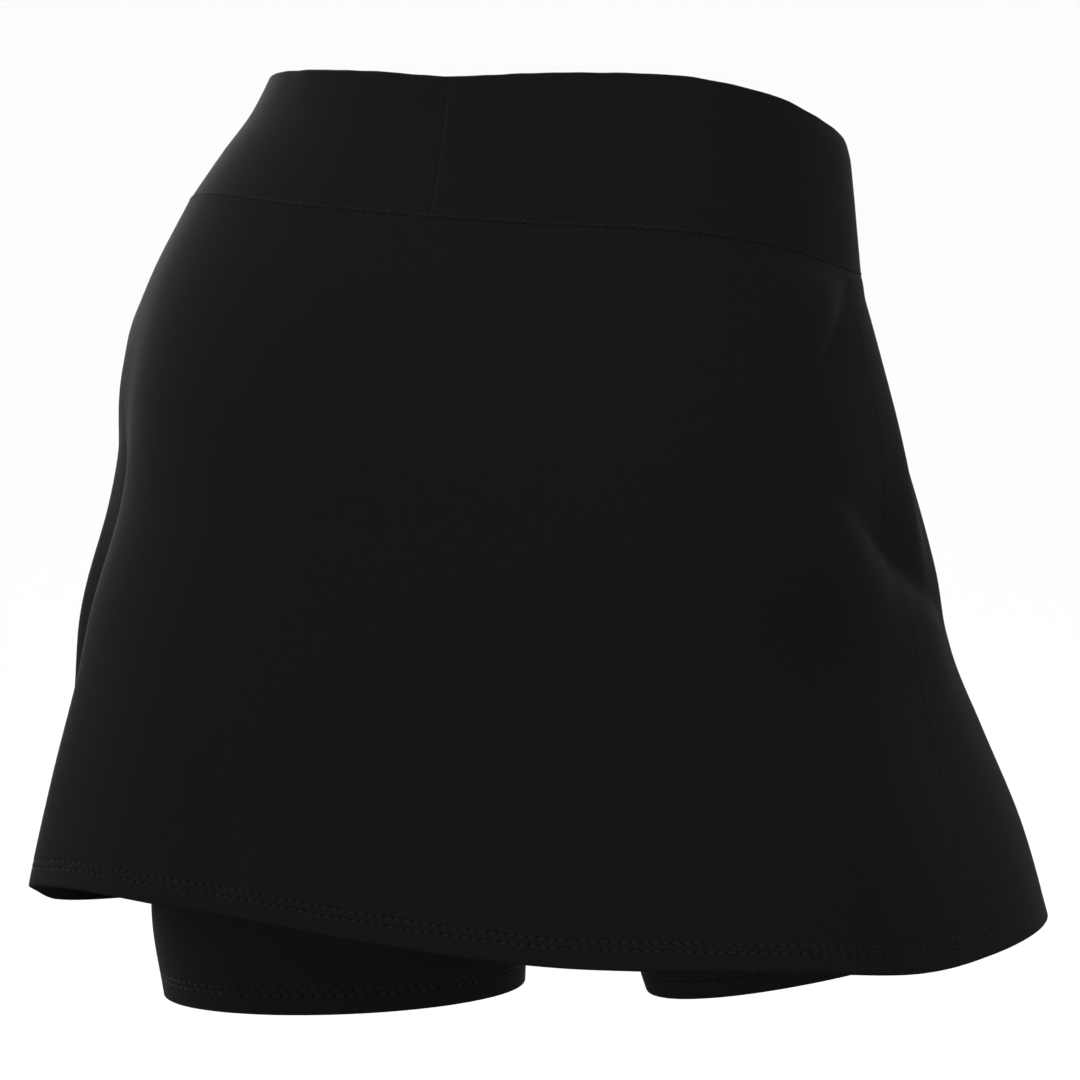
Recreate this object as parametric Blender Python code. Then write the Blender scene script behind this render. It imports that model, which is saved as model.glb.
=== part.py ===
"""A women's tennis skort, hollow, in the shape it takes when worn.

A flared knit skirt hangs over a pair of close shorts, and both are sewn under one wide
waistband. The wearer faces -Y, their left is +X and their back is +Y. The origin is the
middle of the waist opening. Directions go round the body in degrees: 0 is the left side,
90 the back, 180 the right side and 270 the front.
"""

import math

import bpy
import numpy as np

# Cloth, in metres. The hems are turned up and the waistband's edge is a rounded fold.
BAND_THICKNESS = 0.0032
BAND_EDGE_ROUNDING = 0.0010
SKIRT_THICKNESS = 0.0013
SHORTS_THICKNESS = 0.0013
HEM_EXTRA_THICKNESS = 0.0009
SEAM_GAP = 0.0003
SKIRT_TO_SHORTS = 0.0006
UNDER_SKIRT = SKIRT_THICKNESS + SKIRT_TO_SHORTS

# The radius that turns degrees round the body into a distance along the skirt.
TYPICAL_RADIUS = 0.19

# Faces that meet at more than this many degrees, as at the cut edges, are shaded sharp.
SHARP_ANGLE = 50

# The small turn, in degrees, over which a surface's direction is measured.
SMALL_TURN = 0.05

# Steps of the meshes from one seam of a piece round to the next. The skirt's steps are
# smaller at its side seams, where its folds are, by the crowding as a share of an even step.
BAND_STEPS = 72
SKIRT_STEPS = 44
SKIRT_CROWDING = 0.35
SHORTS_STEPS = 36

# Rows of the meshes, as levels from the top edge of a piece to its lowest. A hem 12 mm
# high is the last 0.039 of the skirt and the last 0.026 of a leg.
BAND_LEVELS = (0.00, 0.02, 0.20, 0.40, 0.60, 0.80, 1.00)
SKIRT_HEM_LEVEL = 0.961
SKIRT_LEVELS = (*np.linspace(0, 0.952, 17), SKIRT_HEM_LEVEL, 1.00)
LEG_HEM_LEVEL = 0.974
SHORTS_LEVELS = (
    *(0.00, 0.06, 0.12, 0.20, 0.28, 0.36, 0.44, 0.50, 0.55),
    *(0.59, 0.63, 0.65, 0.66),
    *(0.69, 0.74, 0.80, 0.87, 0.92, 0.968, LEG_HEM_LEVEL, 1.00),
)

# Heights of the garment's edges at stations round the body.
STATION_COLUMNS = ("direction", "waist_edge", "waist_seam", "skirt_hem")
STATIONS = (
    (0, -0.009, -0.069, -0.392),
    (15, -0.003, -0.061, -0.384),
    (30, 0.001, -0.055, -0.369),
    (60, 0.003, -0.057, -0.367),
    (90, 0.001, -0.060, -0.373),
    (120, 0.003, -0.063, -0.378),
    (150, 0.000, -0.067, -0.379),
    (165, -0.008, -0.074, -0.384),
    (180, -0.020, -0.084, -0.384),
    (195, -0.030, -0.090, -0.382),
    (210, -0.035, -0.094, -0.381),
    (240, -0.036, -0.098, -0.386),
    (270, -0.038, -0.100, -0.386),
    (300, -0.035, -0.097, -0.386),
    (330, -0.026, -0.088, -0.394),
)

# Plans of the waistband, from its edge at level 0 to its seam at level 1, and of the
# skirt, from that seam at level 0 to the hem at level 1.
RING_COLUMNS = ("level", "centre_x", "centre_y", "half_width", "half_depth", "squareness")
SEAM_HALF_WIDTH = 0.160
SEAM_HALF_DEPTH = 0.109
WAIST_SEAM = (0.014, 0.016, SEAM_HALF_WIDTH, SEAM_HALF_DEPTH, 2.20)
BAND_RINGS = (
    (0.0, 0.002, 0.000, 0.139, 0.099, 2.15),
    (0.3, 0.008, 0.004, 0.141, 0.101, 2.15),
    (0.6, 0.010, 0.009, 0.151, 0.104, 2.15),
    (1.0, *WAIST_SEAM),
)
SKIRT_RINGS = (
    (0.00, *WAIST_SEAM),
    (0.10, 0.0155, 0.021, 0.1735, 0.118, 2.20),
    (0.25, 0.0145, 0.025, 0.187, 0.128, 2.25),
    (0.45, 0.009, 0.026, 0.191, 0.136, 2.40),
    (0.60, 0.011, 0.026, 0.195, 0.142, 2.50),
    (0.70, 0.007, 0.025, 0.199, 0.147, 2.60),
    (0.85, 0.003, 0.024, 0.213, 0.153, 2.65),
    (1.00, 0.003, 0.023, 0.228, 0.160, 2.65),
)

# The directions of the seams that run down the garment.
SEAM_COLUMNS = ("level", "band_back", "skirt_right", "skirt_left")
SEAMS = (
    (0.0, 89.0, 182.5, 357.5),
    (0.3, 91.0, 182.0, 358.0),
    (0.6, 94.0, 184.0, 356.0),
    (0.8, 95.5, 180.5, 359.5),
    (1.0, 97.0, 171.0, 369.0),
)

# The skirt's largest folds. Each is a ridge, or a trough where its height is less than 0,
# about its middle. The lean turns its length from straight down towards a larger direction.
# The rounding is how blunt its crest is, and the two widths are how far its sides reach
# before the crest, on the side of the smaller direction, and past it.
FOLD_COLUMNS = (
    *("direction", "level", "lean", "half_length"),
    *("rounding", "before", "past", "height"),
)
SKIRT_FOLDS = (
    (29, 0.84, 0, 0.105, 0.008, 0.016, 0.030, 0.012),
    (21, 0.57, 0, 0.060, 0.008, 0.010, 0.012, -0.013),
    (11, 0.575, 0, 0.075, 0.008, 0.018, 0.010, 0.0175),
    (206, 0.82, 0, 0.120, 0.008, 0.030, 0.016, 0.010),
    (184, 0.42, 64, 0.052, 0.004, 0.016, 0.050, -0.014),
    (-4, 0.42, -64, 0.052, 0.004, 0.050, 0.016, -0.011),
    (134, 0.78, -12, 0.080, 0.024, 0.024, 0.024, -0.005),
    (62, 0.92, 6, 0.070, 0.021, 0.021, 0.021, -0.003),
    (246, 0.88, 8, 0.080, 0.021, 0.021, 0.021, -0.005),
    (292, 0.90, -6, 0.080, 0.022, 0.022, 0.022, -0.005),
)

# The level by which the folds are full: at the waist seam itself there are none.
FULL_FOLD_LEVEL = 0.04

# Plans of each half of the shorts, measured from the middle of the body. Above the crotch
# a ring is cut off where it meets the middle: the middle share is how far from front to
# back that is, as a share of its half depth. Below, the ring goes round one leg, and the
# inner reach is how far it stays from the middle. The tilt share says how much a ring
# tilts as the waist seam does, and the hem share how much it tilts as the leg's hem does.
SHORTS_COLUMNS = (
    "level",
    "height",
    "tilt_share",
    "hem_share",
    "middle_x",
    "middle_y",
    "outer_reach",
    "inner_reach",
    "middle_share",
    "half_depth",
    "squareness",
)
SHORTS_TOP_REACH = SEAM_HALF_WIDTH - UNDER_SKIRT
SHORTS_TOP_DEPTH = SEAM_HALF_DEPTH - UNDER_SKIRT
SHORTS_TOP_RINGS = (
    (0.00, -0.0745, 1.00, 0.0, 0.014, 0.016, SHORTS_TOP_REACH, 0.000, 1.00, SHORTS_TOP_DEPTH, 2.20),
    (0.06, -0.0920, 1.00, 0.0, 0.015, 0.019, 0.1635, 0.000, 1.00, 0.1105, 2.20),
    (0.16, -0.1220, 1.00, 0.0, 0.015, 0.022, 0.1690, 0.000, 1.00, 0.1140, 2.20),
    (0.30, -0.1650, 0.80, 0.0, 0.012, 0.022, 0.1720, 0.000, 0.99, 0.1170, 2.15),
    (0.46, -0.2200, 0.40, 0.0, 0.010, 0.017, 0.1730, 0.000, 0.96, 0.1120, 2.10),
    (0.54, -0.2450, 0.15, 0.0, 0.008, 0.012, 0.1750, 0.000, 0.90, 0.1060, 2.05),
    (0.59, -0.2570, 0.05, 0.0, 0.006, 0.009, 0.1770, 0.000, 0.75, 0.1010, 2.00),
    (0.63, -0.2660, 0.02, 0.0, 0.005, 0.008, 0.1780, 0.000, 0.50, 0.0985, 2.00),
    (0.65, -0.2705, 0.00, 0.0, 0.005, 0.007, 0.1790, 0.000, 0.25, 0.0975, 2.00),
    (0.66, -0.2720, 0.00, 0.0, 0.005, 0.007, 0.1790, 0.000, 0.00, 0.0970, 2.00),
)
LEFT_LEG_RINGS = (
    (0.72, -0.2960, 0.00, 0.1, 0.004, 0.005, 0.1860, 0.006, 0.00, 0.0940, 2.00),
    (0.80, -0.3350, 0.00, 0.4, 0.002, 0.000, 0.2010, 0.020, 0.00, 0.0910, 2.00),
    (0.92, -0.3940, 0.00, 0.8, 0.000, -0.005, 0.2120, 0.034, 0.00, 0.0880, 2.00),
    (1.00, -0.4310, 0.00, 1.0, 0.000, -0.007, 0.2070, 0.037, 0.00, 0.0850, 2.00),
)
RIGHT_LEG_RINGS = (
    (0.72, -0.2960, 0.00, 0.1, 0.004, 0.003, 0.1850, 0.006, 0.00, 0.0940, 2.00),
    (0.80, -0.3250, 0.00, 0.5, 0.002, -0.007, 0.1940, 0.022, 0.00, 0.0890, 2.00),
    (1.00, -0.3960, 0.00, 1.0, 0.000, -0.021, 0.2070, 0.043, 0.00, 0.0830, 2.00),
)
# Slopes of the hems of the legs: height for each metre to the left and to the back.
LEFT_HEM_SLOPES = (-0.04, 0.00)
RIGHT_HEM_SLOPES = (-0.20, -0.10)

# Colours: linear red, green and blue, with a roughness.
KNIT_BLACK = (0.0085, 0.0085, 0.009, 0.62)
BAND_BLACK = (0.0090, 0.0090, 0.0095, 0.58)
SHORTS_BLACK = (0.0060, 0.0060, 0.0065, 0.66)


def clear_scene():
    for old in list(bpy.data.objects):
        bpy.data.objects.remove(old, do_unlink=True)


def knit(name, look):
    """A plain dark knit: the colour, with no metal and the given roughness."""
    material = bpy.data.materials.new(name)
    material.use_nodes = True
    shader = material.node_tree.nodes["Principled BSDF"]
    shader.inputs["Base Color"].default_value = (*look[:3], 1.0)
    shader.inputs["Roughness"].default_value = look[3]
    shader.inputs["Metallic"].default_value = 0.0
    return material


def smooth_curve(known, values, wanted):
    """Values at wanted places, on a cubic curve that passes through the known ones.

    The slope at each known place is that between its two neighbours.
    """
    known = np.asarray(known, float)
    values = np.asarray(values, float)
    slopes = np.gradient(values, known)
    place = np.clip(np.searchsorted(known, wanted, side="right") - 1, 0, len(known) - 2)
    span = known[place + 1] - known[place]
    t = (wanted - known[place]) / span
    return (
        (2 * t**3 - 3 * t**2 + 1) * values[place]
        + (t**3 - 2 * t**2 + t) * span * slopes[place]
        + (3 * t**2 - 2 * t**3) * values[place + 1]
        + (t**3 - t**2) * span * slopes[place + 1]
    )


def column(table, columns, name):
    return np.array([row[columns.index(name)] for row in table], float)


def edge_height(name, direction):
    """The height of one of the garment's edges in a direction, round a closed curve."""
    stations = column(STATIONS, STATION_COLUMNS, "direction")
    heights = column(STATIONS, STATION_COLUMNS, name)
    stations = np.concatenate([stations[-2:] - 360, stations, stations[:2] + 360])
    heights = np.concatenate([heights[-2:], heights, heights[:2]])
    return smooth_curve(stations, heights, np.mod(direction, 360.0))


def ring_point(table, direction, level):
    """The plan of a ring: x and y of a superellipse about its centre."""
    levels = column(table, RING_COLUMNS, "level")
    centre_x, centre_y, half_width, half_depth, squareness = (
        smooth_curve(levels, column(table, RING_COLUMNS, name), level)
        for name in RING_COLUMNS[1:]
    )
    across, along = np.cos(np.radians(direction)), np.sin(np.radians(direction))
    reach = (
        np.abs(across / half_width) ** squareness + np.abs(along / half_depth) ** squareness
    ) ** (-1 / squareness)
    return centre_x + reach * across, centre_y + reach * along


def band_point(direction, level):
    x, y = ring_point(BAND_RINGS, direction, level)
    top, seam = edge_height("waist_edge", direction), edge_height("waist_seam", direction)
    return np.stack([x, y, top + level * (seam + SEAM_GAP / 2 - top)], axis=-1)


def fold_height(direction, level):
    """How far the folds push the skirt out: the sum of rounded ridges and troughs."""
    length = edge_height("waist_seam", direction) - edge_height("skirt_hem", direction)
    total = np.zeros(np.broadcast(direction, level).shape)
    for row in SKIRT_FOLDS:
        fold = dict(zip(FOLD_COLUMNS, row))
        turn = np.mod(direction - fold["direction"] + 180.0, 360.0) - 180.0
        sideways = np.radians(turn) * TYPICAL_RADIUS
        down = (level - fold["level"]) * length
        lean = math.radians(fold["lean"])
        along = down * math.cos(lean) + sideways * math.sin(lean)
        across = sideways * math.cos(lean) - down * math.sin(lean)
        away = np.hypot(across, fold["rounding"]) - fold["rounding"]
        width = np.where(across > 0, fold["past"], fold["before"])
        total += fold["height"] * np.exp(-((along / fold["half_length"]) ** 2) - away / width)
    start = np.clip(level / FULL_FOLD_LEVEL, 0, 1)
    return total * start**2 * (3 - 2 * start)


def skirt_point(direction, level):
    x, y = ring_point(SKIRT_RINGS, direction, level)
    top, hem = edge_height("waist_seam", direction), edge_height("skirt_hem", direction)
    z = top - SEAM_GAP / 2 + level * (hem + SEAM_GAP / 2 - top)
    push = fold_height(direction, level)
    x = x + push * np.cos(np.radians(direction))
    y = y + push * np.sin(np.radians(direction))
    return np.stack([x, y, z], axis=-1)


def level_outwards(surface, first, second):
    """The level direction that points out of a surface, at each of its points."""
    ahead = surface(first + SMALL_TURN, second)
    behind = surface(first - SMALL_TURN, second)
    run = (ahead - behind)[..., :2]
    out = np.stack([run[..., 1], -run[..., 0], np.zeros(run.shape[:-1])], axis=-1)
    return out / np.linalg.norm(out, axis=-1, keepdims=True)


def wall(name, outer, inner, material):
    """One closed solid between two grids of points, with a strip round its four sides."""
    rows, columns = outer.shape[:2]
    points = np.concatenate([outer.reshape(-1, 3), inner.reshape(-1, 3)])
    outside = np.arange(rows * columns).reshape(rows, columns)
    inside = outside + rows * columns
    faces = []
    for r in range(rows - 1):
        for c in range(columns - 1):
            faces.append((outside[r, c], outside[r + 1, c], outside[r + 1, c + 1], outside[r, c + 1]))
            faces.append((inside[r, c], inside[r, c + 1], inside[r + 1, c + 1], inside[r + 1, c]))
    border = (
        [(0, c) for c in range(columns)]
        + [(r, columns - 1) for r in range(1, rows)]
        + [(rows - 1, c) for c in range(columns - 2, -1, -1)]
        + [(r, 0) for r in range(rows - 2, 0, -1)]
    )
    for here, there in zip(border, border[1:] + border[:1]):
        faces.append((outside[here], outside[there], inside[there], inside[here]))
    mesh = bpy.data.meshes.new(name)
    mesh.from_pydata(points.tolist(), [], [tuple(int(i) for i in face) for face in faces])
    mesh.materials.append(material)
    mesh.shade_smooth()
    mesh.set_sharp_from_angle(angle=math.radians(SHARP_ANGLE))
    piece = bpy.data.objects.new(name, mesh)
    bpy.context.scene.collection.objects.link(piece)
    return piece


def seam_direction(name, level):
    return smooth_curve(
        column(SEAMS, SEAM_COLUMNS, "level"), column(SEAMS, SEAM_COLUMNS, name), level
    )


def directions(start, end, steps, crowding=0.0):
    """Directions from one seam to the next in each row, half a gap clear of both.

    The crowding is the share by which the first and last steps are smaller than even ones.
    """
    clear = math.degrees(SEAM_GAP / 2 / SEAM_HALF_WIDTH)
    share = np.linspace(0, 1, steps + 1)
    share = share - crowding * np.sin(2 * math.pi * share) / (2 * math.pi)
    start = (start + clear)[:, None]
    end = (end - clear)[:, None]
    return start + share * (end - start)


def make_waistband():
    """One strip round the waist, joined at the back, with its upper edge rounded."""
    join = seam_direction("band_back", BAND_LEVELS)
    direction = directions(join, join + 360, BAND_STEPS)
    level = np.broadcast_to(np.array(BAND_LEVELS)[:, None], direction.shape)
    surface = band_point(direction, level)
    out = level_outwards(band_point, direction, level)
    rounding = BAND_EDGE_ROUNDING * (level == 0)[..., None]
    outer = surface - rounding * out
    inner = surface - (BAND_THICKNESS - rounding) * out
    return wall("waistband", outer, inner, knit("waistband_knit", BAND_BLACK))


def make_skirt_panel(name, start, end, material):
    """One panel of the skirt between the directions of two seams, with a thicker hem."""
    direction = directions(start, end, SKIRT_STEPS, SKIRT_CROWDING)
    level = np.broadcast_to(np.array(SKIRT_LEVELS)[:, None], direction.shape)
    outer = skirt_point(direction, level)
    thickness = SKIRT_THICKNESS + HEM_EXTRA_THICKNESS * (level >= SKIRT_HEM_LEVEL)
    inner = outer - thickness[..., None] * level_outwards(skirt_point, direction, level)
    return wall(name, outer, inner, material)


def shorts_point(side, leg_rings, hem_slopes):
    """The surface of one half of the shorts: side is 1 on the left and -1 on the right."""
    rings = SHORTS_TOP_RINGS + leg_rings
    levels, *columns = (column(rings, SHORTS_COLUMNS, name) for name in SHORTS_COLUMNS)
    height, tilt, hem, middle_x, middle_y, outer, inner, share, depth, square = columns
    middle_seam = height[0]

    def surface(turn, level):
        def at(values):
            return smooth_curve(levels, values, level)

        n = at(square)
        cut_share = np.clip(at(share), 0, 1)
        behind = (1 - cut_share**n) ** (1 / n)
        half_width = (at(outer) - at(inner)) / (1 + behind)
        centre = at(outer) - half_width
        cut_depth = np.maximum(at(depth) * cut_share, SEAM_GAP / 2)
        cut = np.arctan2(cut_depth, -behind * half_width)
        angle = turn / 90 * cut
        across, along = np.cos(angle), np.sin(angle)
        reach = (np.abs(across / half_width) ** n + np.abs(along / at(depth)) ** n) ** (-1 / n)
        from_middle = side * (SEAM_GAP / 2 + centre + reach * across)
        x = at(middle_x) + from_middle
        y = at(middle_y) + reach * along
        direction = np.degrees(np.arctan2(reach * along, from_middle))
        seam_tilt = at(tilt) * (edge_height("waist_seam", direction) - middle_seam)
        to_left = from_middle - side * centre
        hem_tilt = at(hem) * (hem_slopes[0] * to_left + hem_slopes[1] * reach * along)
        z = at(height) + seam_tilt + hem_tilt - SEAM_GAP / 2
        return np.stack([x, y, z], axis=-1)

    return surface


def make_shorts_half(name, side, leg_rings, hem_slopes, material):
    """Half of the shorts: a wall from the middle of the front round to that of the back."""
    surface = shorts_point(side, leg_rings, hem_slopes)
    turns = np.linspace(-90, 90, SHORTS_STEPS + 1)
    turn, level = np.meshgrid(turns, SHORTS_LEVELS)
    outer = surface(turn, level)
    out = side * level_outwards(surface, turn, level)
    thickness = SHORTS_THICKNESS + HEM_EXTRA_THICKNESS * (level >= LEG_HEM_LEVEL)
    inner = outer - thickness[..., None] * out
    if side < 0:
        outer, inner = outer[:, ::-1], inner[:, ::-1]
    return wall(name, outer, inner, material)


def make_skort():
    clear_scene()
    make_waistband()
    skirt_knit = knit("skirt_knit", KNIT_BLACK)
    right_seam = seam_direction("skirt_right", SKIRT_LEVELS)
    left_seam = seam_direction("skirt_left", SKIRT_LEVELS)
    make_skirt_panel("skirt_back", left_seam - 360, right_seam, skirt_knit)
    make_skirt_panel("skirt_front", right_seam, left_seam, skirt_knit)
    shorts_knit = knit("shorts_knit", SHORTS_BLACK)
    make_shorts_half("shorts_left", 1, LEFT_LEG_RINGS, LEFT_HEM_SLOPES, shorts_knit)
    make_shorts_half("shorts_right", -1, RIGHT_LEG_RINGS, RIGHT_HEM_SLOPES, shorts_knit)


make_skort()
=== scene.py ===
"""Looks for a women's tennis skort, hollow, in the shape it takes when worn.

The wearer faces -Y, their left is +X and their back is +Y. Directions go round the body in
degrees: 0 is the left side, 90 the back, 180 the right side and 270 the front. A level goes
from 0 at the upper edge of a piece to 1 at its lower edge. Everything is in metres.
"""

from functools import partial

import bpy
import numpy as np
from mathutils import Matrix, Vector


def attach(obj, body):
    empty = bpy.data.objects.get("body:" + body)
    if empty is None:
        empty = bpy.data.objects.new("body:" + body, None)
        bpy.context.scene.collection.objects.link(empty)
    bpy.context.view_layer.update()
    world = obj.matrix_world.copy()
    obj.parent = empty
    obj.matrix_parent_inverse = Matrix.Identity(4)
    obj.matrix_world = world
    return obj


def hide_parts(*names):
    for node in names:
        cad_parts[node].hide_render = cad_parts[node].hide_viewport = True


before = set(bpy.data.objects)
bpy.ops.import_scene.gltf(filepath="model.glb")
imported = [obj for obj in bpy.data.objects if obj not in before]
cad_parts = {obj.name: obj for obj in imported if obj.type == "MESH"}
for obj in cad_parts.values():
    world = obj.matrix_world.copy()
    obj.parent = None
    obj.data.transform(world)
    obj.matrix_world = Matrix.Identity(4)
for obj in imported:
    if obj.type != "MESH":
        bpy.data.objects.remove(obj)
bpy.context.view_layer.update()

# ---------------------------------------------------------------------------- waistband
# One wide strip of dense stretch knit, folded double so that its upper edge is a soft fold,
# and closed by one join at the middle of the back. It is sewn over the top of the skirt and
# the shorts with a single row of stitches just above the seam.

# direction, height of the waistband's edge, of the waist seam and of the skirt's hem
EDGES = np.array([
    (0, -0.009, -0.069, -0.392),
    (15, -0.003, -0.061, -0.384),
    (30, 0.001, -0.055, -0.369),
    (60, 0.003, -0.057, -0.367),
    (90, 0.001, -0.060, -0.373),
    (120, 0.003, -0.063, -0.378),
    (150, 0.000, -0.067, -0.379),
    (165, -0.008, -0.074, -0.384),
    (180, -0.020, -0.084, -0.384),
    (195, -0.030, -0.090, -0.382),
    (210, -0.035, -0.094, -0.381),
    (240, -0.036, -0.098, -0.386),
    (270, -0.038, -0.100, -0.386),
    (300, -0.035, -0.097, -0.386),
    (330, -0.026, -0.088, -0.394),
])
WAIST_EDGE, WAIST_SEAM, SKIRT_HEM = EDGES[:, 1], EDGES[:, 2], EDGES[:, 3]

# level, centre x and y, half width, half depth and squareness of the plan
BAND_PLANS = np.array([
    (0.00, 0.0047, 0.0000, 0.1363, 0.0985, 2.15),
    (0.12, 0.0048, 0.0015, 0.1392, 0.0996, 2.15),
    (0.30, 0.0060, 0.0040, 0.1430, 0.1010, 2.15),
    (0.60, 0.0099, 0.0090, 0.1511, 0.1040, 2.15),
    (1.00, 0.0140, 0.0160, 0.1600, 0.1090, 2.20),
])
# level and direction of the join
BAND_JOIN = np.array([(0.0, 89.0), (0.3, 91.0), (0.6, 94.0), (0.8, 95.5), (1.0, 97.0)])
BAND_THICKNESS = 0.0032
BAND_HEIGHT = 0.066
BAND_GIRTH = 0.80
BAND_ROWS, BAND_COLUMNS = 34, 360
# how far from the top, the bottom and the join's two edges the cloth starts to turn in
BAND_TURNS = (0.0016, 0.0005, 0.00004, 0.00004)
BAND_COLOUR = (0.0062, 0.0062, 0.0065)
BAND_LOOP = 0.00055
BAND_SHEEN = 0.015
WAIST_STITCH_PITCH = 0.0037
WAIST_STITCH_LINE = 0.0012
WAIST_STITCH_LIFT = 0.00006
# waves round the body, height in metres and phase of the ripples that elastic leaves, how
# much of each goes outwards, how soon they fade downwards, and how unevenly they are spaced
BAND_RIPPLES = ((31, 0.00006, 0.4), (47, 0.00005, 2.1), (17, 0.00007, 4.0))
RIPPLE_OUTWARDS = 0.8
RIPPLE_FADE = 6
RIPPLE_DRIFT = 2
# where rows of the grid lie beside a line of stitches, and as shares of an edge's turn
BESIDE_STITCHES = np.array([-1.6, -0.9, -0.4, 0.0, 0.4, 0.9, 1.6]) * 1e-3
ALONG_TURN = np.array([0.0, 0.12, 0.4, 0.75, 1.0])
# the least step between an even row and one of those, as a share of the even step
LEAST_STEP = 0.2


def curve(known, values, wanted):
    """A cubic through the known places, whose slope at each is that between its neighbours."""
    slopes = np.gradient(values, known)
    wanted = np.asarray(wanted, float)
    place = np.clip(np.searchsorted(known, wanted, side="right") - 1, 0, len(known) - 2)
    span = known[place + 1] - known[place]
    t = (wanted - known[place]) / span
    return (
        (2 * t**3 - 3 * t**2 + 1) * values[place]
        + (t**3 - 2 * t**2 + t) * span * slopes[place]
        + (3 * t**2 - 2 * t**3) * values[place + 1]
        + (t**3 - t**2) * span * slopes[place + 1]
    )


def edge_height(heights, direction):
    """The same cubic, closed round the body: two stations are repeated past each end."""
    stations = np.concatenate([EDGES[-2:, 0] - 360, EDGES[:, 0], EDGES[:2, 0] + 360])
    heights = np.concatenate([heights[-2:], heights, heights[:2]])
    return curve(stations, heights, np.mod(direction, 360.0))


def plan_point(plans, direction, level):
    """x and y on a superellipse: reach = (|cos/a|^n + |sin/b|^n)^(-1/n) about its centre."""
    x, y, a, b, n = (curve(plans[:, 0], plans[:, i], level) for i in range(1, 6))
    cos, sin = np.cos(np.radians(direction)), np.sin(np.radians(direction))
    reach = (np.abs(cos / a) ** n + np.abs(sin / b) ** n) ** (-1 / n)
    return x + reach * cos, y + reach * sin


def edge_rows(length, count, turn_start, turn_end, lines=(), crowding=0.0):
    """Shares from 0 to 1 of a length: steps that are smaller towards both ends by the
    crowding, closer still where the edges turn in, and close on both sides of each line, a
    distance from the start at which stitches run."""
    near = [ALONG_TURN * turn_start, length - ALONG_TURN * turn_end]
    near += [line + BESIDE_STITCHES for line in lines]
    near = np.unique(np.round(np.concatenate(near), 6))
    even = np.linspace(0, 1, count)
    steps = (even - crowding * np.sin(2 * np.pi * even) / (2 * np.pi)) * length
    clear = np.abs(steps[:, None] - near).min(1) > LEAST_STEP * length / count
    return np.sort(np.concatenate([near, steps[clear]])) / length


def distance_along(points, axis):
    """Length of the way along one axis of a grid of points, from its first row or column."""
    steps = np.linalg.norm(np.diff(points, axis=axis), axis=-1)
    start = np.zeros_like(np.take(steps, [0], axis=axis))
    return np.concatenate([start, np.cumsum(steps, axis=axis)], axis=axis)


def outward(points):
    """Unit normals of a grid: its downward step crossed with its step round the body."""
    normal = np.cross(np.gradient(points, axis=0), np.gradient(points, axis=1))
    return normal / np.linalg.norm(normal, axis=-1, keepdims=True)


def add_mesh(name, points, faces, layers, material):
    """A smooth mesh object with its place in its points. Each layer is a UV map in metres."""
    mesh = bpy.data.meshes.new(name)
    mesh.vertices.add(len(points))
    mesh.vertices.foreach_set("co", points.astype(np.float32).ravel())
    mesh.loops.add(faces.size)
    mesh.loops.foreach_set("vertex_index", faces.astype(np.int32).ravel())
    mesh.polygons.add(len(faces))
    size = faces.shape[1]
    mesh.polygons.foreach_set("loop_start", np.arange(len(faces), dtype=np.int32) * size)
    mesh.update(calc_edges=True)
    for layer, places in layers.items():
        uv = mesh.uv_layers.new(name=layer)
        uv.data.foreach_set("uv", places[faces.ravel()].astype(np.float32).ravel())
    mesh.shade_smooth()
    mesh.materials.append(material)
    piece = bpy.data.objects.new(name, mesh)
    bpy.context.scene.collection.objects.link(piece)
    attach(piece, "root")
    return piece


def cloth(name, surface, thickness, turns, material):
    """A closed shell of cloth under a grid of surface points.

    The outer face follows the surface and the inner one lies its thickness below. Within
    the turn of each of the four sides (top, bottom, start, end) both faces bend to meet
    half way down: depth = half thickness * (1 - sqrt(1 - (1 - distance / turn)^2)).
    """
    rows, columns = surface.shape[:2]
    normal = outward(surface)
    down, along = distance_along(surface, 0), distance_along(surface, 1)
    sides = (down, down[-1:] - down, along, along[:, -1:] - along)
    near = np.ones((rows, columns))
    for distance, turn in zip(sides, turns):
        near = np.minimum(near, distance / turn)
    thickness = np.broadcast_to(thickness, near.shape)
    bend = thickness / 2 * (1 - np.sqrt(1 - (1 - near) ** 2))
    outer = surface - normal * bend[..., None]
    inner = surface - normal * (thickness - bend)[..., None]
    outside = np.arange(rows * columns).reshape(rows, columns)
    inside = outside.copy()
    inside_count = (rows - 2) * (columns - 2)
    inside[1:-1, 1:-1] = rows * columns + np.arange(inside_count).reshape(rows - 2, -1)
    points = np.concatenate([outer.reshape(-1, 3), inner[1:-1, 1:-1].reshape(-1, 3)])
    faces = np.concatenate([
        np.stack([g[:-1, :-1], g[1:, :-1], g[1:, 1:], g[:-1, 1:]], -1).reshape(-1, 4)[:, order]
        for g, order in ((outside, [0, 1, 2, 3]), (inside, [3, 2, 1, 0]))
    ])
    middle = along - along[:, columns // 2 : columns // 2 + 1]
    maps = {
        "cloth": np.stack([middle, -down], -1),
        "edge": np.stack([along, down[-1:] - down], -1),
    }
    layers = {
        layer: np.concatenate([m.reshape(-1, 2), m[1:-1, 1:-1].reshape(-1, 2)])
        for layer, m in maps.items()
    }
    return add_mesh(name, points, faces, layers, material), outer, normal


def new_group(name, inputs, outputs):
    """An empty shader node group with named number or vector sockets."""
    group = bpy.data.node_groups.new(name, "ShaderNodeTree")
    for label, kind, value in inputs:
        socket = group.interface.new_socket(label, in_out="INPUT", socket_type=kind)
        if value is not None:
            socket.default_value = value
    for label, kind in outputs:
        group.interface.new_socket(label, in_out="OUTPUT", socket_type=kind)
    start, end = group.nodes.new("NodeGroupInput"), group.nodes.new("NodeGroupOutput")
    return group, start, end


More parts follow.
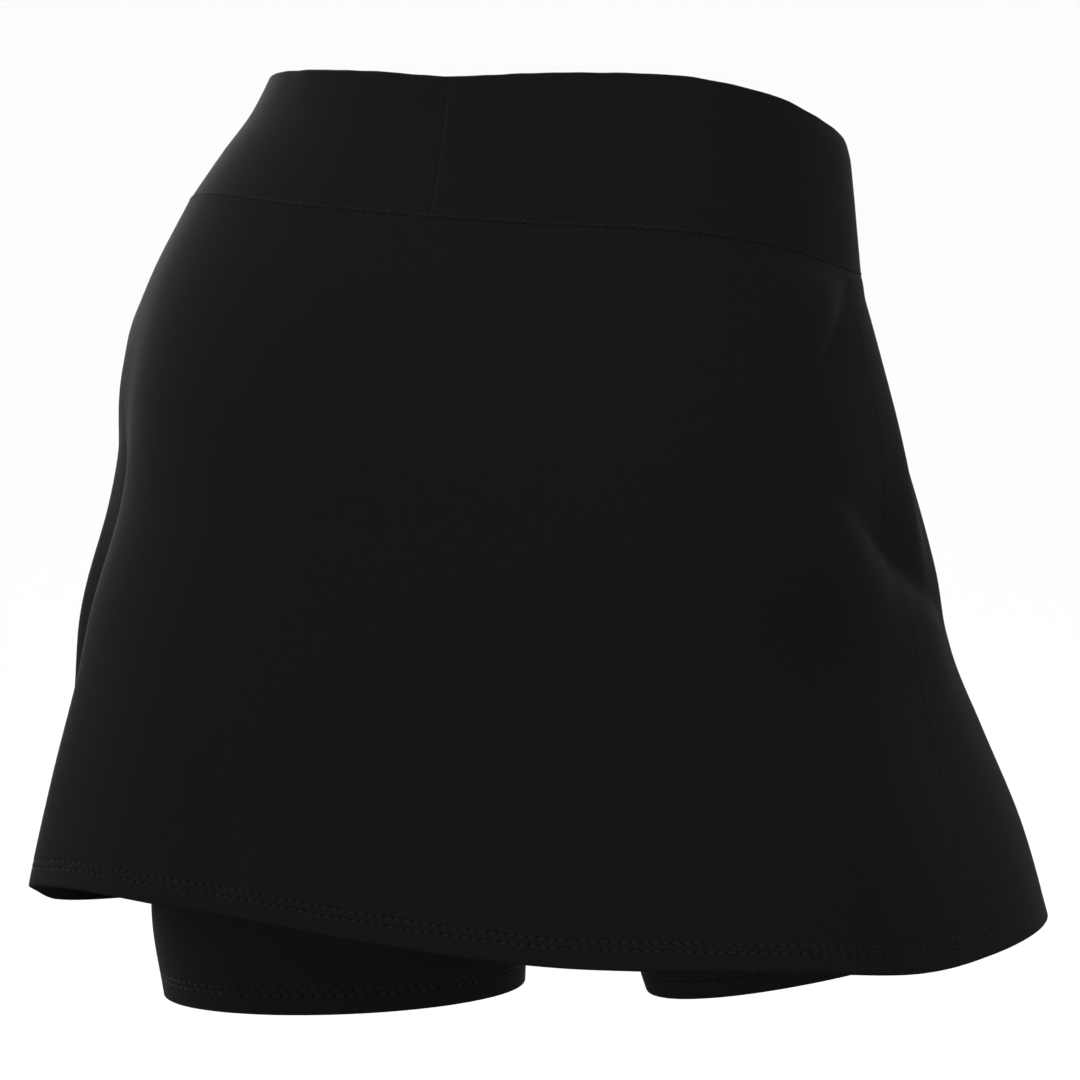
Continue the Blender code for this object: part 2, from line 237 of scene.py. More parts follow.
def calculate(tree, operation, *values):
    """One Math node: each value is a number or another node's output."""
    node = tree.nodes.new("ShaderNodeMath")
    node.operation = operation
    for socket, value in zip(node.inputs, values):
        if isinstance(value, (int, float)):
            socket.default_value = value
        else:
            tree.links.new(value, socket)
    return node.outputs[0]


# radians in a whole turn
WHOLE_TURN = 6.28319
# painted shade on the knit: how much lighter a loop's crown is than its foot,
# and how fine the knit's clouds are
LOOP_PAINTED_SHADE = 0.35
CLOUD_SCALE = 260.0


def fine_knit_group():
    """Jersey: columns of small Vs. With x in loops across and y in rows down, the height is
    0.5 + 0.25 * cos(2 pi x) + 0.25 * sin(2 pi (y + |fraction of x - 0.5|)), and a little
    cloudy unevenness on top. The tone is 1, plus the clouds and painted shade from the same
    loops, lighter at their crowns and darker at their feet."""
    group, start, end = new_group(
        "fine_knit",
        (
            ("Place", "NodeSocketVector", None),
            ("Loop width", "NodeSocketFloat", 0.0006),
            ("Row height", "NodeSocketFloat", 0.0005),
            ("Unevenness", "NodeSocketFloat", 0.3),
        ),
        (("Height", "NodeSocketFloat"), ("Tone", "NodeSocketFloat")),
    )
    at = partial(calculate, group)
    split = group.nodes.new("ShaderNodeSeparateXYZ")
    group.links.new(start.outputs["Place"], split.inputs[0])
    across = at("DIVIDE", split.outputs["X"], start.outputs["Loop width"])
    down = at("DIVIDE", split.outputs["Y"], start.outputs["Row height"])
    leg = at("ABSOLUTE", at("SUBTRACT", at("FRACT", across), 0.5))
    column = at("COSINE", at("MULTIPLY", across, WHOLE_TURN))
    loop = at("SINE", at("MULTIPLY", at("ADD", down, leg), WHOLE_TURN))
    relief = at("MULTIPLY", at("ADD", column, loop), 0.25)
    cloudy = group.nodes.new("ShaderNodeTexNoise")
    cloudy.inputs["Scale"].default_value = CLOUD_SCALE
    cloudy.inputs["Detail"].default_value = 3.0
    group.links.new(start.outputs["Place"], cloudy.inputs["Vector"])
    cloud = at("SUBTRACT", cloudy.outputs["Fac"], 0.5)
    uneven = at("MULTIPLY", cloud, start.outputs["Unevenness"])
    height = at("ADD", at("ADD", relief, uneven), 0.5)
    group.links.new(height, end.inputs["Height"])
    # the tone: painted shade from the loops' relief, and the clouds' uneven colour
    tone = at("ADD", at("MULTIPLY", relief, LOOP_PAINTED_SHADE), at("ADD", uneven, 1.0))
    group.links.new(tone, end.inputs["Tone"])
    return group


def stitch_holes_group():
    """Dents where the needle went in: one each pitch along two lines above an edge. With
    the distance to the nearest, depth = 1 - distance / radius, and never below 0."""
    group, start, end = new_group(
        "stitch_holes",
        (
            ("Place", "NodeSocketVector", None),
            ("Pitch", "NodeSocketFloat", 0.0045),
            ("First line", "NodeSocketFloat", 0.0087),
            ("Second line", "NodeSocketFloat", 0.0124),
            ("Radius", "NodeSocketFloat", 0.0009),
        ),
        (("Depth", "NodeSocketFloat"),),
    )
    at = partial(calculate, group)
    split = group.nodes.new("ShaderNodeSeparateXYZ")
    group.links.new(start.outputs["Place"], split.inputs[0])
    step = at("FRACT", at("ADD", at("DIVIDE", split.outputs["X"], start.outputs["Pitch"]), 0.5))
    away = at("MULTIPLY", at("SUBTRACT", step, 0.5), start.outputs["Pitch"])
    first = at("SUBTRACT", split.outputs["Y"], start.outputs["First line"])
    second = at("SUBTRACT", split.outputs["Y"], start.outputs["Second line"])
    line = at("MINIMUM", at("ABSOLUTE", first), at("ABSOLUTE", second))
    far = at("SQRT", at("ADD", at("POWER", away, 2.0), at("POWER", line, 2.0)))
    depth = at("SUBTRACT", 1.0, at("DIVIDE", far, start.outputs["Radius"]))
    depth = at("MAXIMUM", depth, 0.0)
    group.links.new(depth, end.inputs["Depth"])
    return group


FINE_KNIT = fine_knit_group()
STITCH_HOLES = stitch_holes_group()

CLOTH_ROUGHNESS = 0.6
CLOTH_GLOSS = 0.0032
FIBRE_SPREAD = 0.5
# a loop's height as a share of its width, and how deep its relief is
LOOP_HEIGHT = 0.8
KNIT_RELIEF = 0.00012
# how much painted shade darkens a needle hole, and how deep it looks
HOLE_SHADE = 0.8
HOLE_RELIEF = 0.0005


def cloth_material(name, colour, loop, sheen, holes):
    """Dyed knit: the colour times the knit's tone, with painted shade at the feet of its loops,
    small relief from its loops, and a sheen of fibre ends. Holes gives the pitch and the two
    lines of stitches above its edge: there painted shade darkens the tone by the shade times
    the depth, and the relief sinks."""
    material = bpy.data.materials.new(name)
    material.use_nodes = True
    tree = material.node_tree
    shader = tree.nodes["Principled BSDF"]
    shader.inputs["Roughness"].default_value = CLOTH_ROUGHNESS
    shader.inputs["Specular IOR Level"].default_value = CLOTH_GLOSS
    shader.inputs["Sheen Weight"].default_value = sheen
    shader.inputs["Sheen Roughness"].default_value = FIBRE_SPREAD
    place = tree.nodes.new("ShaderNodeUVMap")
    place.uv_map = "cloth"
    knit = tree.nodes.new("ShaderNodeGroup")
    knit.node_tree = FINE_KNIT
    knit.inputs["Loop width"].default_value = loop
    knit.inputs["Row height"].default_value = loop * LOOP_HEIGHT
    tree.links.new(place.outputs["UV"], knit.inputs["Place"])
    edge = tree.nodes.new("ShaderNodeUVMap")
    edge.uv_map = "edge"
    dents = tree.nodes.new("ShaderNodeGroup")
    dents.node_tree = STITCH_HOLES
    for label, value in zip(("Pitch", "First line", "Second line"), holes):
        dents.inputs[label].default_value = value
    tree.links.new(edge.outputs["UV"], dents.inputs["Place"])
    # painted shade in the needle holes: the colour falls with each hole's depth
    shade = calculate(tree, "MULTIPLY_ADD", dents.outputs["Depth"], -HOLE_SHADE, 1.0)
    dye_and_painted_shade = tree.nodes.new("ShaderNodeVectorMath")
    dye_and_painted_shade.operation = "SCALE"
    dye_and_painted_shade.inputs[0].default_value = colour
    tone = calculate(tree, "MULTIPLY", knit.outputs["Tone"], shade)
    tree.links.new(tone, dye_and_painted_shade.inputs["Scale"])
    tree.links.new(dye_and_painted_shade.outputs["Vector"], shader.inputs["Base Color"])
    relief = tree.nodes.new("ShaderNodeBump")
    relief.inputs["Strength"].default_value = 0.35
    relief.inputs["Distance"].default_value = KNIT_RELIEF
    tree.links.new(knit.outputs["Height"], relief.inputs["Height"])
    sunk = tree.nodes.new("ShaderNodeBump")
    sunk.invert = True
    sunk.inputs["Strength"].default_value = 0.9
    sunk.inputs["Distance"].default_value = HOLE_RELIEF
    tree.links.new(dents.outputs["Depth"], sunk.inputs["Height"])
    tree.links.new(relief.outputs["Normal"], sunk.inputs["Normal"])
    tree.links.new(sunk.outputs["Normal"], shader.inputs["Normal"])
    return material


def band_point(direction, level):
    """The plan's point at a height between the edge and the seam, with the edge's ripples."""
    x, y = plan_point(BAND_PLANS, direction, level)
    top, seam = edge_height(WAIST_EDGE, direction), edge_height(WAIST_SEAM, direction)
    turn = np.radians(direction)
    drift = RIPPLE_DRIFT * np.sin(2 * turn)
    ripple = sum(high * np.sin(n * turn + phase + drift) for n, high, phase in BAND_RIPPLES)
    fade = (1 - level) ** RIPPLE_FADE
    out = ripple * RIPPLE_OUTWARDS * fade
    z = top + level * (seam - top) + ripple * fade
    return np.stack([x + out * np.cos(turn), y + out * np.sin(turn), z], axis=-1)


levels = edge_rows(
    BAND_HEIGHT, BAND_ROWS, *BAND_TURNS[:2], lines=(BAND_HEIGHT - WAIST_STITCH_LINE,)
)
join = curve(BAND_JOIN[:, 0], BAND_JOIN[:, 1], levels)[:, None]
direction = join + 360 * edge_rows(BAND_GIRTH, BAND_COLUMNS, *BAND_TURNS[2:])
level = np.broadcast_to(levels[:, None], direction.shape)
band_knit = cloth_material(
    "waistband_knit", BAND_COLOUR, BAND_LOOP, BAND_SHEEN,
    holes=(WAIST_STITCH_PITCH, WAIST_STITCH_LINE, WAIST_STITCH_LINE),
)
band, band_outer, band_normal = cloth(
    "waistband_cloth", band_point(direction, level), BAND_THICKNESS, BAND_TURNS, band_knit
)
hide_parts("waistband")

STITCH_LENGTH_SHARE = 0.70
THREAD_RADIUS = 0.00026
# how much the stitches vary in length and in turn, and how far ahead their way is read
STITCH_UNEVENNESS = 0.05
LOOK_AHEAD = 5e-4
# rings and sides of a bead, and the power that blunts its ends, where 1 is a plain sphere
BEAD_RINGS, BEAD_SIDES = 5, 6
BEAD_BLUNTNESS = 0.6


def stitches(name, path, normal, pitch, lift, material, seed):
    """A row of sewn thread: one low bead for each stitch along a path on the cloth.

    A bead is a stretched sphere with blunt ends. With the angle from its end, it reaches
    cos(angle) * half a stitch along and sin(angle)^bluntness * the thread's radius across
    and up, and it is a little uneven in length and turn.
    """
    way = np.concatenate([[0], np.cumsum(np.linalg.norm(np.diff(path, axis=0), axis=1))])
    count = int(way[-1] / pitch)
    centre = (np.arange(count) + 0.5) * pitch
    spot = np.stack([np.interp(centre, way, path[:, i]) for i in range(3)], -1)
    up = np.stack([np.interp(centre, way, normal[:, i]) for i in range(3)], -1)
    further = np.stack([np.interp(centre + LOOK_AHEAD, way, path[:, i]) for i in range(3)], -1)
    ahead = further - spot
    ahead /= np.linalg.norm(ahead, axis=1, keepdims=True)
    side = np.cross(up, ahead)
    random = np.random.default_rng(seed)
    half_stitch = pitch * STITCH_LENGTH_SHARE / 2 * random.normal(1, STITCH_UNEVENNESS, count)
    ahead = ahead + side * random.normal(0, STITCH_UNEVENNESS, count)[:, None]
    angle = np.linspace(0, np.pi, BEAD_RINGS + 2)[1:-1, None]
    about = np.linspace(0, 2 * np.pi, BEAD_SIDES + 1)[:-1]
    bead = np.stack([
        np.broadcast_to(np.cos(angle), (BEAD_RINGS, BEAD_SIDES)),
        np.sin(angle) ** BEAD_BLUNTNESS * np.cos(about),
        np.sin(angle) ** BEAD_BLUNTNESS * np.sin(about),
    ], -1).reshape(-1, 3)
    bead = np.concatenate([bead, [(1, 0, 0), (-1, 0, 0)]])
    points = (
        (spot + up * lift)[:, None]
        + bead[:, 0, None] * half_stitch[:, None, None] * ahead[:, None]
        + bead[:, 1, None] * THREAD_RADIUS * side[:, None]
        + bead[:, 2, None] * THREAD_RADIUS * up[:, None]
    )
    near = np.arange(BEAD_RINGS * BEAD_SIDES).reshape(BEAD_RINGS, BEAD_SIDES)
    beside = np.roll(near, -1, axis=1)
    quads = np.stack([near[:-1], beside[:-1], beside[1:], near[1:]], -1).reshape(-1, 4)
    front_tip, back_tip = np.full((2, BEAD_SIDES), near.size) + [[0], [1]]
    caps = np.concatenate([
        np.stack([front_tip, beside[0], near[0]], -1),
        np.stack([back_tip, near[-1], beside[-1]], -1),
    ])
    triangles = np.concatenate([quads[:, [0, 1, 2]], quads[:, [0, 2, 3]], caps])
    faces = (triangles + np.arange(count)[:, None, None] * len(bead)).reshape(-1, 3)
    layer = {"cloth": np.repeat(np.stack([centre, centre * 0], -1), len(bead), axis=0)}
    return add_mesh(name, points.reshape(-1, 3), faces[:, ::-1], layer, material)


THREAD_ROUGHNESS = 0.6
THREAD_GLOSS = 0.04
TWIST_SCALE = 4000.0
TWIST_RELIEF = 0.0001


def thread_material(name, colour):
    """Spun thread: nearly black, with a soft gloss and a fine twist along each stitch."""
    material = bpy.data.materials.new(name)
    material.use_nodes = True
    tree = material.node_tree
    shader = tree.nodes["Principled BSDF"]
    shader.inputs["Base Color"].default_value = (*colour, 1)
    shader.inputs["Roughness"].default_value = THREAD_ROUGHNESS
    shader.inputs["Specular IOR Level"].default_value = THREAD_GLOSS
    place = tree.nodes.new("ShaderNodeTexCoord")
    twist = tree.nodes.new("ShaderNodeTexNoise")
    twist.inputs["Scale"].default_value = TWIST_SCALE
    tree.links.new(place.outputs["Object"], twist.inputs["Vector"])
    relief = tree.nodes.new("ShaderNodeBump")
    relief.inputs["Strength"].default_value = 0.3
    relief.inputs["Distance"].default_value = TWIST_RELIEF
    tree.links.new(twist.outputs["Fac"], relief.inputs["Height"])
    tree.links.new(relief.outputs["Normal"], shader.inputs["Normal"])
    return material


THREAD_COLOUR = (0.013, 0.013, 0.0135)
thread = thread_material("sewing_thread", THREAD_COLOUR)
row = np.argmin(np.abs(levels - (1 - WAIST_STITCH_LINE / BAND_HEIGHT)))
band_stitches = stitches(
    "waist_stitches", band_outer[row], band_normal[row],
    WAIST_STITCH_PITCH, WAIST_STITCH_LIFT, thread, seed=1,
)

# ------------------------------------------------------------------------------- skirt
# Two flared panels of smooth jersey, front and back, joined by a plain seam at each side.
# The hem is turned up and sewn with two rows of stitches. Soft folds start at the side
# seams, where the cloth drops from the hip.

# level, centre x and y, half width, half depth and squareness of the plan
SKIRT_PLANS = np.array([
    (0.00, 0.0140, 0.016, 0.1600, 0.109, 2.20),
    (0.10, 0.0155, 0.021, 0.1735, 0.118, 2.20),
    (0.25, 0.0145, 0.025, 0.1870, 0.128, 2.25),
    (0.45, 0.0090, 0.026, 0.1910, 0.136, 2.40),
    (0.60, 0.0110, 0.026, 0.1950, 0.142, 2.50),
    (0.70, 0.0070, 0.025, 0.1990, 0.147, 2.60),
    (0.85, 0.0030, 0.024, 0.2130, 0.153, 2.65),
    (1.00, 0.0030, 0.023, 0.2280, 0.160, 2.65),
])
# level and direction of the right side seam, and of the left one less a whole turn
RIGHT_SEAM = np.array([(0.0, 182.5), (0.3, 182.0), (0.6, 184.0), (0.8, 180.5), (1.0, 171.0)])
LEFT_SEAM = np.array([(0.0, -2.5), (0.3, -2.0), (0.6, -4.0), (0.8, -0.5), (1.0, 9.0)])
# direction, level, lean in degrees, half length, rounding, width of the side before the crest
# (a smaller direction), width of the side past it, and height of each fold
SKIRT_FOLDS = (
    (29, 0.84, 0, 0.105, 0.008, 0.016, 0.030, 0.012),
    (21, 0.57, 0, 0.060, 0.008, 0.010, 0.012, -0.013),
    (11, 0.575, 0, 0.075, 0.008, 0.018, 0.010, 0.0175),
    (206, 0.82, 0, 0.120, 0.008, 0.030, 0.016, 0.010),
    (184, 0.42, 64, 0.052, 0.004, 0.016, 0.050, -0.014),
    (-4, 0.42, -64, 0.052, 0.004, 0.050, 0.016, -0.011),
    (134, 0.78, -12, 0.080, 0.024, 0.024, 0.024, -0.005),
    (62, 0.92, 6, 0.070, 0.021, 0.021, 0.021, -0.003),
    (246, 0.88, 8, 0.080, 0.021, 0.021, 0.021, -0.005),
    (292, 0.90, -6, 0.080, 0.022, 0.022, 0.022, -0.005),
)
# the same for the small creases at the seams
SKIRT_CREASES = (
    (167.5, 0.120, -49, 0.042, 0.008, 0.020, 0.008, 0.0064),
    (171.8, 0.125, -49, 0.040, 0.001, 0.010, 0.024, -0.0054),
    (194, 0.355, 0, 0.060, 0.015, 0.021, 0.015, 0.0036),
    (198, 0.250, 0, 0.056, 0.010, 0.010, 0.010, -0.0044),
    (26, 0.305, 0, 0.048, 0.0175, 0.0175, 0.0175, -0.0042),
    (14, 0.230, 0, 0.030, 0.070, 0.043, 0.043, 0.0017),
    (11, 0.740, 0, 0.034, 0.008, 0.018, 0.010, 0.0080),
    (9, 0.110, 45, 0.030, 0.002, 0.004, 0.010, 0.0034),
    (-1, 0.060, 25, 0.018, 0.002, 0.008, 0.005, -0.0010),
)
# the radius that turns a fold's direction into a distance, and the level below which the
# folds are full
FOLD_RADIUS = 0.19
FULL_FOLD_LEVEL = 0.04
SKIRT_THICKNESS = 0.0013
SKIRT_LENGTH = 0.325
SKIRT_HEM_GIRTH = 0.645
SKIRT_ROWS, SKIRT_COLUMNS = 116, 330
# how much smaller the grid's steps are towards the ends, down the skirt and across it
CROWDING_DOWN, CROWDING_ACROSS = 0.3, 0.45
SKIRT_TURNS = (0.0003, 0.0011, 0.0003, 0.0003)
SKIRT_COLOUR = (0.0062, 0.0062, 0.0065)
SKIRT_LOOP = 0.00060
SKIRT_SHEEN = 0.015
# how much a hem adds to the cloth, how far it reaches up, and how soft its upper edge is
HEM_EXTRA = 0.0009
HEM_DEPTH = 0.0128
HEM_SOFTNESS = 0.0008
SKIRT_HEM_LINES = (0.0087, 0.0124)
SKIRT_STITCH_PITCH = 0.00455
SKIRT_STITCH_LIFT = 0.00004
# the groove that the thread pulls into a hem
GROOVE_DEPTH = 0.00022
GROOVE_WIDTH = 0.0008


def fold_push(direction, level):
    """How far folds push the cloth out, from distances along and across each on the cloth:
    height * exp(-(along / half length)^2 - (hypot(across, rounding) - rounding) / width).
    They start at the seam, with no push there, and are full a little below it."""
    length = edge_height(WAIST_SEAM, direction) - edge_height(SKIRT_HEM, direction)
    total = np.zeros(direction.shape)
    for middle, at_level, lean, half_length, rounding, before, past, height in (
        *SKIRT_FOLDS, *SKIRT_CREASES
    ):
        sideways = np.radians(np.mod(direction - middle + 180, 360) - 180) * FOLD_RADIUS
        down = (level - at_level) * length
        cos, sin = np.cos(np.radians(lean)), np.sin(np.radians(lean))
        along, across = down * cos + sideways * sin, sideways * cos - down * sin
        away = (np.hypot(across, rounding) - rounding) / np.where(across > 0, past, before)
        total += height * np.exp(-((along / half_length) ** 2) - away)
    start = np.clip(level / FULL_FOLD_LEVEL, 0, 1)
    return total * start**2 * (3 - 2 * start)


def skirt_point(direction, level):
    """The plan's point at a height between the seam and the hem, pushed out by the folds."""
    x, y = plan_point(SKIRT_PLANS, direction, level)
    top, hem = edge_height(WAIST_SEAM, direction), edge_height(SKIRT_HEM, direction)
    push = fold_push(direction, level)
    turn = np.radians(direction)
    x, y = x + push * np.cos(turn), y + push * np.sin(turn)
    return np.stack([x, y, top + level * (hem - top)], -1)


def hemmed_cloth(name, surface, above, plain, turns, knit, lines, sewing):
    """A shell of cloth with a sewn hem, from each point's distance above its lower edge.

    Its thickness is plain + half of what the hem adds * (1 - tanh((above - depth) /
    softness)). Under each line of stitches a groove sinks by depth * exp(-((above - line) /
    width)^2). Sewing gives the stitches' pitch, lift, thread and first seed.
    """
    groove = sum(np.exp(-(((above - line) / GROOVE_WIDTH) ** 2)) for line in lines)
    surface = surface - outward(surface) * (GROOVE_DEPTH * groove)[..., None]
    thickness = plain + HEM_EXTRA / 2 * (1 - np.tanh((above - HEM_DEPTH) / HEM_SOFTNESS))
    piece, outer, normal = cloth(name, surface, thickness, turns, knit)
    pitch, lift, spun, seed = sewing
    rows = [np.argmin(np.abs(above[:, 0] - line)) for line in lines]
    sewn = [
        stitches(f"{name}_stitches_{i}", outer[r], normal[r], pitch, lift, spun, seed + i)
        for i, r in enumerate(rows)
    ]
    return piece, sewn


def skirt_panel(name, start, end, seed):
    """One panel between two seams: its directions go evenly from one seam to the other."""
    share = edge_rows(
        SKIRT_HEM_GIRTH, SKIRT_COLUMNS, *SKIRT_TURNS[2:], crowding=CROWDING_ACROSS
    )
    direction = start[:, None] + (end - start)[:, None] * share
    level = np.broadcast_to(skirt_levels[:, None], direction.shape)
    return hemmed_cloth(
        name, skirt_point(direction, level), (1 - level) * SKIRT_LENGTH,
        SKIRT_THICKNESS, SKIRT_TURNS, skirt_knit, SKIRT_HEM_LINES,
        (SKIRT_STITCH_PITCH, SKIRT_STITCH_LIFT, thread, seed),
    )


skirt_levels = edge_rows(
    SKIRT_LENGTH, SKIRT_ROWS, *SKIRT_TURNS[:2],
    lines=[SKIRT_LENGTH - line for line in SKIRT_HEM_LINES], crowding=CROWDING_DOWN,
)
skirt_knit = cloth_material(
    "skirt_knit", SKIRT_COLOUR, SKIRT_LOOP, SKIRT_SHEEN,
    holes=(SKIRT_STITCH_PITCH, *SKIRT_HEM_LINES),
)
right = curve(RIGHT_SEAM[:, 0], RIGHT_SEAM[:, 1], skirt_levels)
left = curve(LEFT_SEAM[:, 0], LEFT_SEAM[:, 1], skirt_levels)
skirt_back, back_stitches = skirt_panel("skirt_back_cloth", left, right, seed=10)
skirt_front, front_stitches = skirt_panel("skirt_front_cloth", right, left + 360, seed=20)
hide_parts("skirt_back")
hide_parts("skirt_front")

# ------------------------------------------------------------------------------ shorts
# Close-fitting shorts of compression knit, cut as a left and a right half. Each half runs
# from the middle of the front to the middle of the back, and its own two edges meet again
# in an inseam down the leg. The legs' hems are turned up and sewn with two rows.

# level, height, how much of the waist seam's tilt and of the hem's it has, x and y of the
# body's middle, reach outwards and inwards from there, how far the ring stays open at the
# middle, half depth and squareness
SHORTS_TOP = (
    (0.00, -0.0745, 1.00, 0.0, 0.014, 0.016, 0.1581, 0.000, 1.00, 0.1071, 2.20),
    (0.06, -0.0920, 1.00, 0.0, 0.015, 0.019, 0.1635, 0.000, 1.00, 0.1105, 2.20),
    (0.16, -0.1220, 1.00, 0.0, 0.015, 0.022, 0.1690, 0.000, 1.00, 0.1140, 2.20),
    (0.30, -0.1650, 0.80, 0.0, 0.012, 0.022, 0.1720, 0.000, 0.99, 0.1170, 2.15),
    (0.46, -0.2200, 0.40, 0.0, 0.010, 0.017, 0.1730, 0.000, 0.96, 0.1120, 2.10),
    (0.54, -0.2450, 0.15, 0.0, 0.008, 0.012, 0.1750, 0.000, 0.90, 0.1060, 2.05),
    (0.59, -0.2570, 0.05, 0.0, 0.006, 0.009, 0.1770, 0.000, 0.75, 0.1010, 2.00),
    (0.63, -0.2660, 0.02, 0.0, 0.005, 0.008, 0.1780, 0.000, 0.50, 0.0985, 2.00),
    (0.65, -0.2705, 0.00, 0.0, 0.005, 0.007, 0.1790, 0.000, 0.25, 0.0975, 2.00),
    (0.66, -0.2720, 0.00, 0.0, 0.005, 0.007, 0.1790, 0.000, 0.00, 0.0970, 2.00),
)
LEFT_LEG = (
    (0.72, -0.2960, 0.00, 0.1, 0.004, 0.005, 0.1860, 0.006, 0.00, 0.0940, 2.00),
    (0.80, -0.3350, 0.00, 0.4, 0.002, 0.000, 0.2010, 0.020, 0.00, 0.0910, 2.00),
    (0.92, -0.3940, 0.00, 0.8, 0.000, -0.005, 0.2120, 0.034, 0.00, 0.0880, 2.00),
    (1.00, -0.4310, 0.00, 1.0, 0.000, -0.007, 0.2070, 0.037, 0.00, 0.0850, 2.00),
)
RIGHT_LEG = (
    (0.72, -0.2960, 0.00, 0.1, 0.004, 0.003, 0.1850, 0.006, 0.00, 0.0940, 2.00),
    (0.80, -0.3250, 0.00, 0.5, 0.002, -0.007, 0.1940, 0.022, 0.00, 0.0890, 2.00),
    (1.00, -0.3960, 0.00, 1.0, 0.000, -0.021, 0.2070, 0.043, 0.00, 0.0830, 2.00),
)
# how much each leg's hem rises towards the wearer's left and towards their back
LEFT_HEM_SLOPES = (-0.04, 0.0)
RIGHT_HEM_SLOPES = (-0.20, -0.10)
SHORTS_THICKNESS = 0.0013
SHORTS_LENGTH = 0.46
SHORTS_GIRTH = 0.55
SHORTS_ROWS, SHORTS_COLUMNS = 110, 210
SHORTS_TURNS = (0.0006, 0.0011, 0.0004, 0.0004)
# how far down from the shorts' upper edge the grid's rows lie closer
SHORTS_TOP_ROWS = 0.0009
# how far each half reaches past the middle at the crotch, so that no light comes through
CROTCH_LAP = 0.0009
SHORTS_COLOUR = (0.0125, 0.0125, 0.0130)
SHORTS_LOOP = 0.00050
SHORTS_SHEEN = 0.01
LEG_HEM_LINES = (0.0092, 0.0119)
LEG_STITCH_PITCH = 0.0050
LEG_STITCH_LIFT = 0.00006
LEG_THREAD_COLOUR = (0.028, 0.028, 0.029)


def shorts_point(side, plans, hem_slopes, turn, level):
    """A ring about one half of the body: a superellipse cut off at the middle above the
    crotch, and whole round the leg below it. It tilts with the waist seam and the hem."""
    plans = np.array(plans)
    height, tilt, hem, middle_x, middle_y, outer, inner, share, depth, n = (
        curve(plans[:, 0], plans[:, i], level) for i in range(1, 11)
    )
    share = np.clip(share, 0, 1)
    behind = (1 - share**n) ** (1 / n)
    half_width = (outer - inner) / (1 + behind)
    centre = outer - half_width - CROTCH_LAP * behind
    cut = np.arctan2(depth * share, -behind * half_width)
    cos, sin = np.cos(turn / 90 * cut), np.sin(turn / 90 * cut)
    reach = (np.abs(cos / half_width) ** n + np.abs(sin / depth) ** n) ** (-1 / n)
    from_middle = side * (centre + reach * cos)
    behind_middle = reach * sin
    direction = np.degrees(np.arctan2(behind_middle, from_middle))
    seam_tilt = tilt * (edge_height(WAIST_SEAM, direction) - plans[0, 1])
    to_left = from_middle - side * centre
    hem_tilt = hem * (hem_slopes[0] * to_left + hem_slopes[1] * behind_middle)
    z = height + seam_tilt + hem_tilt
    return np.stack([middle_x + from_middle, middle_y + behind_middle, z], axis=-1)


def shorts_half(name, side, leg, hem_slopes, seed):
    """One half, as a grid round the leg and down it, with its hem and its stitches."""
    turns = edge_rows(SHORTS_GIRTH, SHORTS_COLUMNS, *SHORTS_TURNS[2:]) * 180 - 90
    turn, level = np.meshgrid(turns, shorts_levels)
    surface = shorts_point(side, SHORTS_TOP + leg, hem_slopes, turn, level)
    if side < 0:
        surface = surface[:, ::-1]
    down = distance_along(surface, 0)
    return hemmed_cloth(
        name, surface, (down[-1:] - down).mean(1, keepdims=True),
        SHORTS_THICKNESS, SHORTS_TURNS, shorts_knit, LEG_HEM_LINES,
        (LEG_STITCH_PITCH, LEG_STITCH_LIFT, leg_thread, seed),
    )


shorts_levels = edge_rows(
    SHORTS_LENGTH, SHORTS_ROWS, SHORTS_TOP_ROWS, SHORTS_TURNS[1],
    lines=[SHORTS_LENGTH - line for line in LEG_HEM_LINES],
)
shorts_knit = cloth_material(
    "shorts_knit", SHORTS_COLOUR, SHORTS_LOOP, SHORTS_SHEEN,
    holes=(LEG_STITCH_PITCH, *LEG_HEM_LINES),
)
leg_thread = thread_material("leg_thread", LEG_THREAD_COLOUR)
shorts_left, left_stitches = shorts_half(
    "shorts_left_cloth", 1, LEFT_LEG, LEFT_HEM_SLOPES, seed=30
)
shorts_right, right_stitches = shorts_half(
    "shorts_right_cloth", -1, RIGHT_LEG, RIGHT_HEM_SLOPES, seed=40
)
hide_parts("shorts_left")
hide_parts("shorts_right")

# ----------------------------------------------------------------------- studio and view
# A floor at the height of a standing wearer's feet, pale far out and dark grey under the
# garment as painted shade that keeps light off the garment's underside, white light all
# round that is strongest from a large window at the front left, and one large soft lamp
# above the back. The view is from behind the wearer's right side.

FLOOR_HEIGHT = -1.05
FLOOR_RADIUS = 150
FLOOR_SIDES = 64
# two distances from the middle, and how pale the floor is at each: its dark grey within
# the first is painted shade
FLOOR_GREYS = (0.8, 2.6, 0.10, 0.94)
# the light all round, how much more comes from the middle of the window, the way to it and
# how closely its light keeps to that way
LIGHT_ALL_ROUND = 0.50
WINDOW_LIGHT = 6.4
WINDOW_DIRECTION = (0.82, -0.56, 0.12)
WINDOW_FOCUS = 4.0
LAMP_PLACE = (-0.7, 2.4, 1.8)
LAMP_TARGET = (0, 0, -0.2)
LAMP_SIZE = 1.4
LAMP_WATTS = 72
CAMERA_PLACE = (-1.3145, 2.4722, 0.058)
CAMERA_TARGET = (0.0101, 0.0053, -0.213)
CAMERA_LENS, CAMERA_SENSOR = 204.9, 36


def look_at(thing, place, target):
    """Places a lamp or camera and turns its -Z axis to its target."""
    thing.location = place
    thing.rotation_mode = "QUATERNION"
    aim = Vector(target) - Vector(place)
    thing.rotation_quaternion = aim.to_track_quat("-Z", "Y")
    bpy.context.scene.collection.objects.link(thing)


